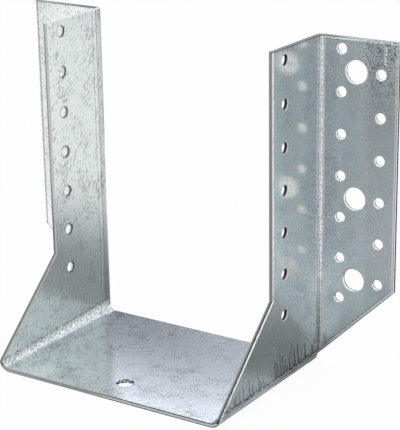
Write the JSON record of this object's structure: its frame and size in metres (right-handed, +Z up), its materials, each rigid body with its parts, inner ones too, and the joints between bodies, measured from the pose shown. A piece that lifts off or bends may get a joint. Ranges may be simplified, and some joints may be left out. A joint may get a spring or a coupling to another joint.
{
  "type": "joist hanger",
  "caption": "Folded galvanised steel hanger: a U-shaped seat and side webs carry a timber joist, and two outward flanges nail or bolt to the header beam.",
  "frame": {"origin": "on the seat's underside, midway between the webs and midway between the header plane and the seat's front edge", "axes": "+X across the joist to the right-hand flange, +Y along the joist towards the header beam, +Z up"},
  "size_m": [0.204, 0.09, 0.161],
  "materials": {
    "galvanised_steel": "hot-dip galvanised sheet, semi-gloss, with fine dark flecks and scuffs"
  },
  "bodies": {
    "root": {"hanger": "galvanised_steel"}
  },
  "joints": []
}
